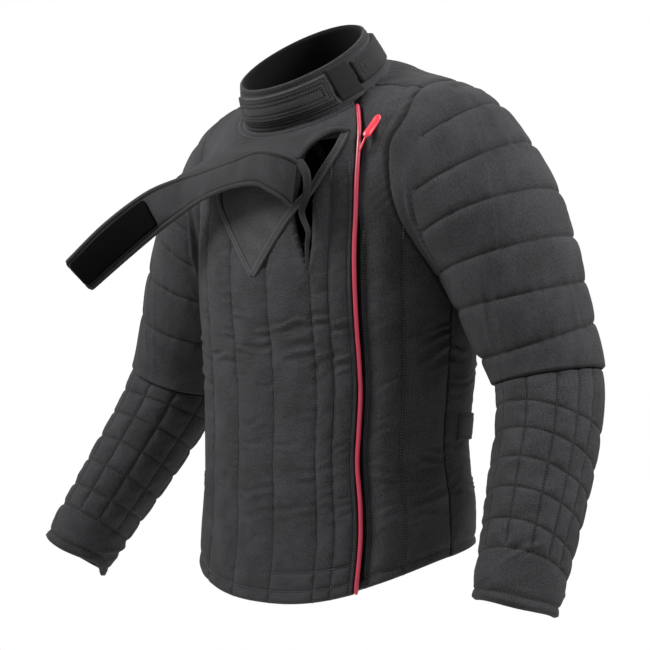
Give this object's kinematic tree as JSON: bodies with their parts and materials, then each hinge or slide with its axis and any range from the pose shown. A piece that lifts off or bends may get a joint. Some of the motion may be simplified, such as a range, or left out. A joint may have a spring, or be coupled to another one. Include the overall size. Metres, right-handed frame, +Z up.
{
  "type": "sparring jacket",
  "caption": "Quilted padded sparring jacket with stand collar, asymmetric piped front zip, open throat strap and curved quilted sleeves.",
  "frame": {"origin": "centre of the neck, level with the side neck points on the shoulders", "axes": "+Z up the body, -Y out of the front, +X to the wearer's left"},
  "size_m": [0.8858, 0.3519, 0.7418],
  "materials": {
    "quilted_cloth": "matt quilted cotton canvas",
    "hook_and_loop": "black hook and loop pile",
    "red_piping": "satin woven piping over a cord",
    "red_rubber": "moulded soft rubber",
    "zip_tape": "black woven tape"
  },
  "bodies": {
    "root": {"front_right": "quilted_cloth", "hem_front_right": "quilted_cloth", "front_left": "quilted_cloth", "hem_front_left": "quilted_cloth", "back_panel": "quilted_cloth", "hem_back_panel": "quilted_cloth", "sleeve_head_left": "quilted_cloth", "sleeve_upper_left": "quilted_cloth", "sleeve_lower_left": "quilted_cloth", "sleeve_head_right": "quilted_cloth", "sleeve_upper_right": "quilted_cloth", "sleeve_lower_right": "quilted_cloth", "collar": "quilted_cloth", "collar_front_tab": "quilted_cloth", "collar_side_patch": "hook_and_loop", "collar_back_strap": "quilted_cloth", "collar_back_patch": "hook_and_loop", "throat_bib": "quilted_cloth", "throat_strap": "quilted_cloth", "strap_hook_patch": "hook_and_loop", "edge_piping": "red_piping", "zip_tape": "zip_tape", "zip_puller": "red_rubber", "waist_tab": "quilted_cloth"}
  },
  "joints": []
}
